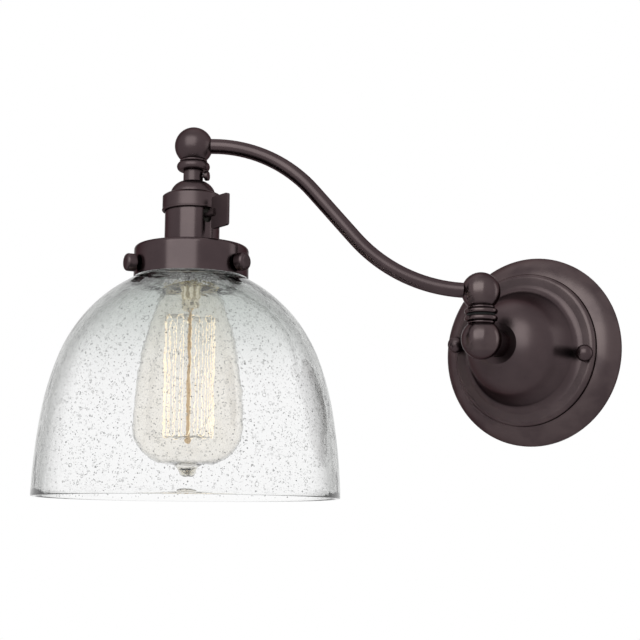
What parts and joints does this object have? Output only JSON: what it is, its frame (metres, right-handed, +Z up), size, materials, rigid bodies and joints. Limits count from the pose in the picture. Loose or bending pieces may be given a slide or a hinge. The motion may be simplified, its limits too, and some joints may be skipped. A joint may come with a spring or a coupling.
{
  "type": "swing arm wall lamp",
  "caption": "Wall lamp with a stepped round canopy, ball swivel, S-curved swing arm, keyed socket and a clear seeded glass dome shade over a squirrel-cage bulb.",
  "frame": {"origin": "centre of the canopy on the wall plane, midway between the box screws", "axes": "+Y into the wall, +Z up, +X to the right when facing the wall; the lamp stands out towards -Y"},
  "size_m": [0.3084, 0.2667, 0.2332],
  "materials": {
    "bronze": "dark oil-rubbed bronze, satin",
    "zinc_steel": "zinc plated",
    "ground_green": "green screw",
    "friction_washer": "black fibre",
    "lead_jacket": "black insulated lead",
    "fibre_sleeve": "brown insulating board",
    "socket_phenolic": "black phenolic",
    "socket_brass": "plain brass",
    "contact_solder": "tinned",
    "seeded_glass": "clear glass full of small bubbles",
    "bulb_clear": "clear",
    "post_glass": "tan glass rod",
    "filament_wire": "glowing filament"
  },
  "bodies": {
    "wall": {"canopy": "bronze", "canopy_nuts": "bronze", "box_strap": "zinc_steel", "swivel_strap": "zinc_steel", "strap_screw": "zinc_steel", "ground_screw": "ground_green", "canopy_studs": "zinc_steel", "stud_locknuts": "zinc_steel", "stem": "bronze", "stem_nipple": "zinc_steel", "stem_washer": "zinc_steel", "stem_locknut": "zinc_steel", "swivel_base": "bronze", "swivel_washer": "friction_washer", "swivel_stop_screw": "zinc_steel", "supply_lead": "lead_jacket"},
    "arm": {"swivel_knuckle": "bronze", "swivel_spindle": "zinc_steel", "arm_tube": "bronze", "lamp_ball": "bronze", "head_nipple": "zinc_steel", "arm_lead": "lead_jacket"},
    "head": {"socket_cap": "bronze", "cap_set_screw": "bronze", "socket_shell": "bronze", "socket_sleeve": "fibre_sleeve", "socket_body": "socket_phenolic", "screw_shell": "socket_brass", "centre_contact": "socket_brass", "terminal_screws": "zinc_steel", "socket_leads": "lead_jacket", "shade_holder": "bronze", "holder_ring": "bronze", "holder_screws": "bronze", "shade": "seeded_glass", "bulb_glass": "bulb_clear", "bulb_base": "socket_brass", "bulb_insulator": "socket_phenolic", "bulb_contact": "contact_solder", "bulb_stem": "bulb_clear", "filament_post": "post_glass", "filament": "filament_wire", "filament_hooks": "contact_solder", "bulb_leads": "contact_solder"},
    "key": {"key_shaft": "bronze", "key_paddle": "bronze", "switch_rotor": "socket_phenolic"}
  },
  "joints": [
    {"name": "arm_swing", "type": "hinge", "parent": "wall", "child": "arm", "pos_m": [0, -0.074, 0.01502], "axis": [0, 0, 1], "range_deg": [-21, 135]},
    {"name": "head_swivel", "type": "hinge", "parent": "arm", "child": "head", "pos_m": [-0.1518, -0.17258, 0.10204], "axis": [0, 0, 1], "range_deg": [-150, 150]},
    {"name": "key_turn", "type": "hinge", "parent": "head", "child": "key", "pos_m": [-0.1518, -0.17258, 0.07488], "axis": [0.9455, -0.3256, 0], "continuous": true}
  ]
}
